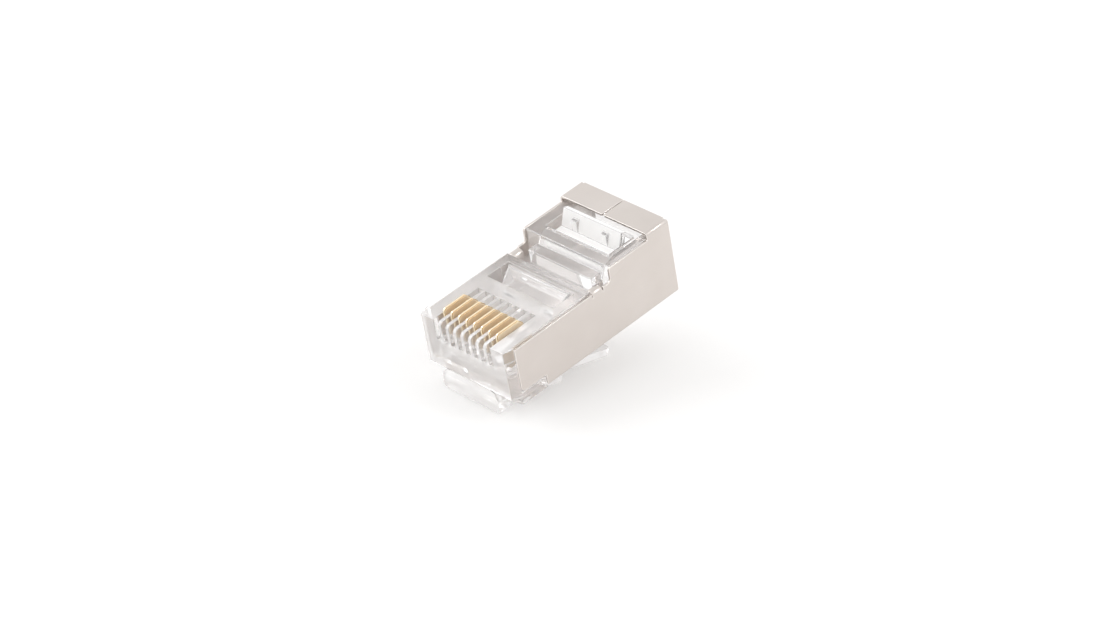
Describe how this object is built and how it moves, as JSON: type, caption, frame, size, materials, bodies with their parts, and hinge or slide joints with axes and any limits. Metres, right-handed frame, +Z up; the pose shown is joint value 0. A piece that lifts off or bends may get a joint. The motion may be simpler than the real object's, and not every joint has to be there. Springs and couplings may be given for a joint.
{
  "type": "rj45 modular plug",
  "caption": "Clear shielded modular plug for network cable, ready to crimp: a comb of gold contact blades, a folded metal shield, crimp windows and a sprung latch.",
  "frame": {"origin": "centre of the part's outer box at table level: the plug rests on its latch's nose and on the lever's end", "axes": "+X across the plug, +Y from the front of the plug towards the cable end, +Z up; the plug's own length is pitched up 13.7 degrees from +Y, as it lies on its latch"},
  "size_m": [0.0116, 0.0232, 0.0151],
  "materials": {
    "clear_polycarbonate": "clear moulded polycarbonate, polished, with a faint warm grey tint",
    "satin_nickel": "nickel-plated sheet metal, satin",
    "gold_plate": "gold-plated stamped blades, bright"
  },
  "bodies": {
    "plug": {"housing": "clear_polycarbonate", "shield": "satin_nickel"},
    "latch": {"latch": "clear_polycarbonate"},
    "wire_bar": {"wire_bar": "clear_polycarbonate"},
    "jacket_bar": {"jacket_bar": "clear_polycarbonate"},
    "contact_1": {"contact_1": "gold_plate"},
    "contact_2": {"contact_2": "gold_plate"},
    "contact_3": {"contact_3": "gold_plate"},
    "contact_4": {"contact_4": "gold_plate"},
    "contact_5": {"contact_5": "gold_plate"},
    "contact_6": {"contact_6": "gold_plate"},
    "contact_7": {"contact_7": "gold_plate"},
    "contact_8": {"contact_8": "gold_plate"}
  },
  "joints": [
    {"name": "latch_press", "type": "hinge", "parent": "plug", "child": "latch", "pos_m": [0, -0.00826, 0.00128], "axis": [1, 0, 0], "range_deg": [0, 14], "stiffness_Nm_per_rad": 0.2},
    {"name": "wire_bar_fold", "type": "hinge", "parent": "plug", "child": "wire_bar", "pos_m": [0, -0.00152, 0.01017], "axis": [1, 0, 0], "range_deg": [0, 22]},
    {"name": "jacket_bar_fold", "type": "hinge", "parent": "plug", "child": "jacket_bar", "pos_m": [0, 0.00399, 0.01183], "axis": [-1, 0, 0], "range_deg": [0, 24]},
    {"name": "contact_1_crimp", "type": "slide", "parent": "plug", "child": "contact_1", "axis": [0, 0.2377, -0.9713], "range_m": [0, 0.0006]},
    {"name": "contact_2_crimp", "type": "slide", "parent": "plug", "child": "contact_2", "axis": [0, 0.2377, -0.9713], "range_m": [0, 0.0006]},
    {"name": "contact_3_crimp", "type": "slide", "parent": "plug", "child": "contact_3", "axis": [0, 0.2377, -0.9713], "range_m": [0, 0.0006]},
    {"name": "contact_4_crimp", "type": "slide", "parent": "plug", "child": "contact_4", "axis": [0, 0.2377, -0.9713], "range_m": [0, 0.0006]},
    {"name": "contact_5_crimp", "type": "slide", "parent": "plug", "child": "contact_5", "axis": [0, 0.2377, -0.9713], "range_m": [0, 0.0006]},
    {"name": "contact_6_crimp", "type": "slide", "parent": "plug", "child": "contact_6", "axis": [0, 0.2377, -0.9713], "range_m": [0, 0.0006]},
    {"name": "contact_7_crimp", "type": "slide", "parent": "plug", "child": "contact_7", "axis": [0, 0.2377, -0.9713], "range_m": [0, 0.0006]},
    {"name": "contact_8_crimp", "type": "slide", "parent": "plug", "child": "contact_8", "axis": [0, 0.2377, -0.9713], "range_m": [0, 0.0006]}
  ]
}
